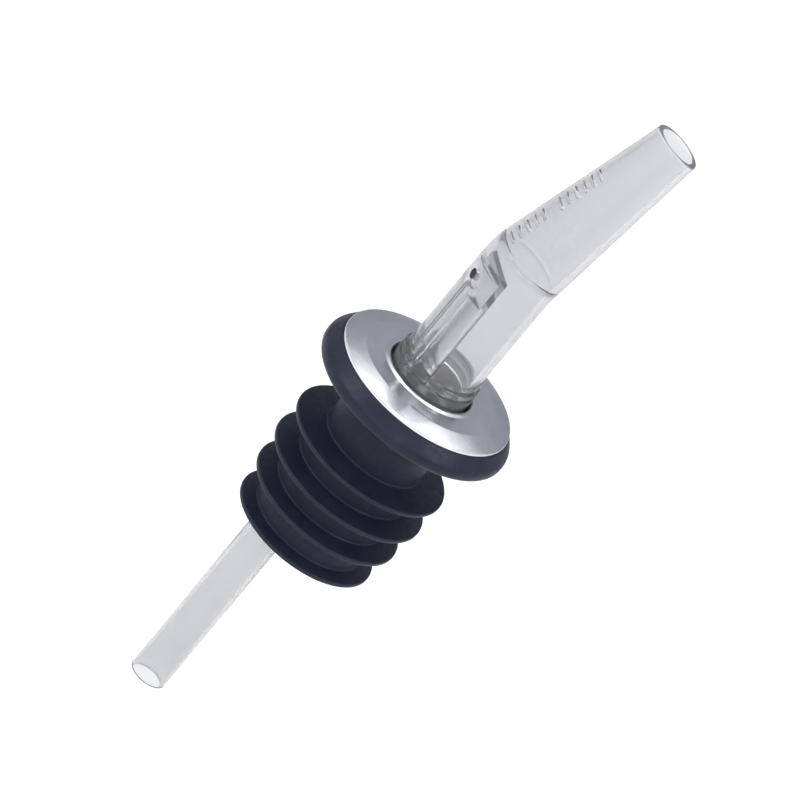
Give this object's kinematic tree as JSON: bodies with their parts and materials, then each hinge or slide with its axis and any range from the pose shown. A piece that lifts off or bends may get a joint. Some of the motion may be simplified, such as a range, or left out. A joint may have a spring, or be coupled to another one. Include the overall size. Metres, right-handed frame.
{
  "type": "liquor pour spout",
  "caption": "Free-flow bottle pourer: clear bent nozzle turning in a finned rubber stopper with a chrome collar, and a clear breather tube below.",
  "frame": {"origin": "on the stopper's axis, at the middle of the top sealing fin's land; the underside of the flange, which rests on the bottle's lip, is 8.9 mm above it", "axes": "+Z along the stopper's axis, up the spout; +X the way the nozzle leans at rest"},
  "size_m": [0.028, 0.028, 0.1023],
  "materials": {
    "black_rubber": "satin moulded rubber",
    "polished_chrome": "polished, lightly spun",
    "clear_plastic": "clear, glossy moulding",
    "clear_tube": "clear extruded tube"
  },
  "bodies": {
    "stopper": {"rubber_stopper": "black_rubber", "chrome_collar": "polished_chrome"},
    "spout": {"spout": "clear_plastic", "breather_tube": "clear_tube"}
  },
  "joints": [
    {"name": "spout_turn", "type": "hinge", "parent": "stopper", "child": "spout", "pos_m": [0, 0, 0], "axis": [0, 0, 1], "continuous": true}
  ]
}
